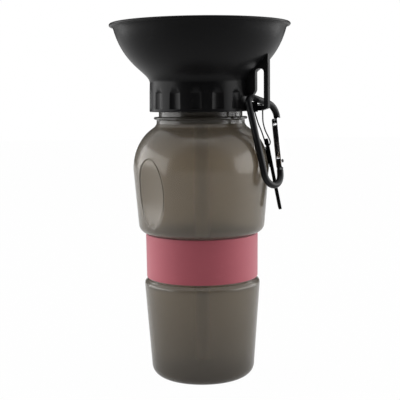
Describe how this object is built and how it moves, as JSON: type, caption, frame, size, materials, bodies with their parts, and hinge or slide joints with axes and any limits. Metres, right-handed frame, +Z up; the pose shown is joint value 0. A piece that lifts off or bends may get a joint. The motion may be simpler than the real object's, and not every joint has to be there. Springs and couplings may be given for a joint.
{
  "type": "dog travel water bottle",
  "caption": "Squeeze bottle with a drinking-bowl screw lid, a soft grip band, a clip-on carabiner and a corded hang strip.",
  "frame": {"origin": "centre of the bottle's foot, on the ground", "axes": "+Z up through the bowl, -Y towards the front, +X to the side where the carabiner hangs"},
  "size_m": [0.124, 0.124, 0.245],
  "materials": {
    "smoke_plastic": "satin translucent",
    "pink_silicone": "matte",
    "clear_silicone": "matte",
    "natural_plastic": "satin",
    "black_plastic": "satin gloss",
    "black_cord": "woven",
    "black_strip": "woven",
    "anodised_aluminium": "dark anodised, satin",
    "bare_aluminium": "satin",
    "steel": "bright"
  },
  "bodies": {
    "bottle": {"bottle": "smoke_plastic", "grip_band": "pink_silicone"},
    "seal": {"seal_ring": "clear_silicone"},
    "tube": {"dip_tube": "natural_plastic"},
    "lid": {"bowl_lid": "black_plastic", "hang_cord": "black_cord", "hang_strip": "black_strip"},
    "carabiner": {"carabiner_body": "anodised_aluminium"},
    "gate": {"carabiner_gate": "bare_aluminium", "gate_pin": "steel", "gate_spring": "steel", "spring_pusher": "steel"}
  },
  "joints": [
    {"name": "lid_lift", "type": "slide", "parent": "bottle", "child": "seal", "axis": [0, 0, 1], "range_m": [0, 0.205]},
    {"name": "lid_rise", "type": "slide", "parent": "seal", "child": "tube", "axis": [0, 0, 1], "range_m": [0, 0.0091]},
    {"name": "lid_turn", "type": "hinge", "parent": "tube", "child": "lid", "pos_m": [0, 0, 0.19], "axis": [0, 0, 1], "range_deg": [0, 540]},
    {"name": "carabiner_swing", "type": "hinge", "parent": "lid", "child": "carabiner", "pos_m": [0.03746, -0.01787, 0.19325], "axis": [-0.6856, -0.6848, 0.2469], "range_deg": [0, 110]},
    {"name": "gate_open", "type": "hinge", "parent": "carabiner", "child": "gate", "pos_m": [0.05359, -0.01376, 0.15096], "axis": [0.7278, -0.6514, 0.2142], "range_deg": [0, 25], "stiffness_Nm_per_rad": 0.02}
  ],
  "couplings": [
    {"joint": "lid_rise", "follows": "lid_turn", "m_per_rad": 0.00095493}
  ]
}
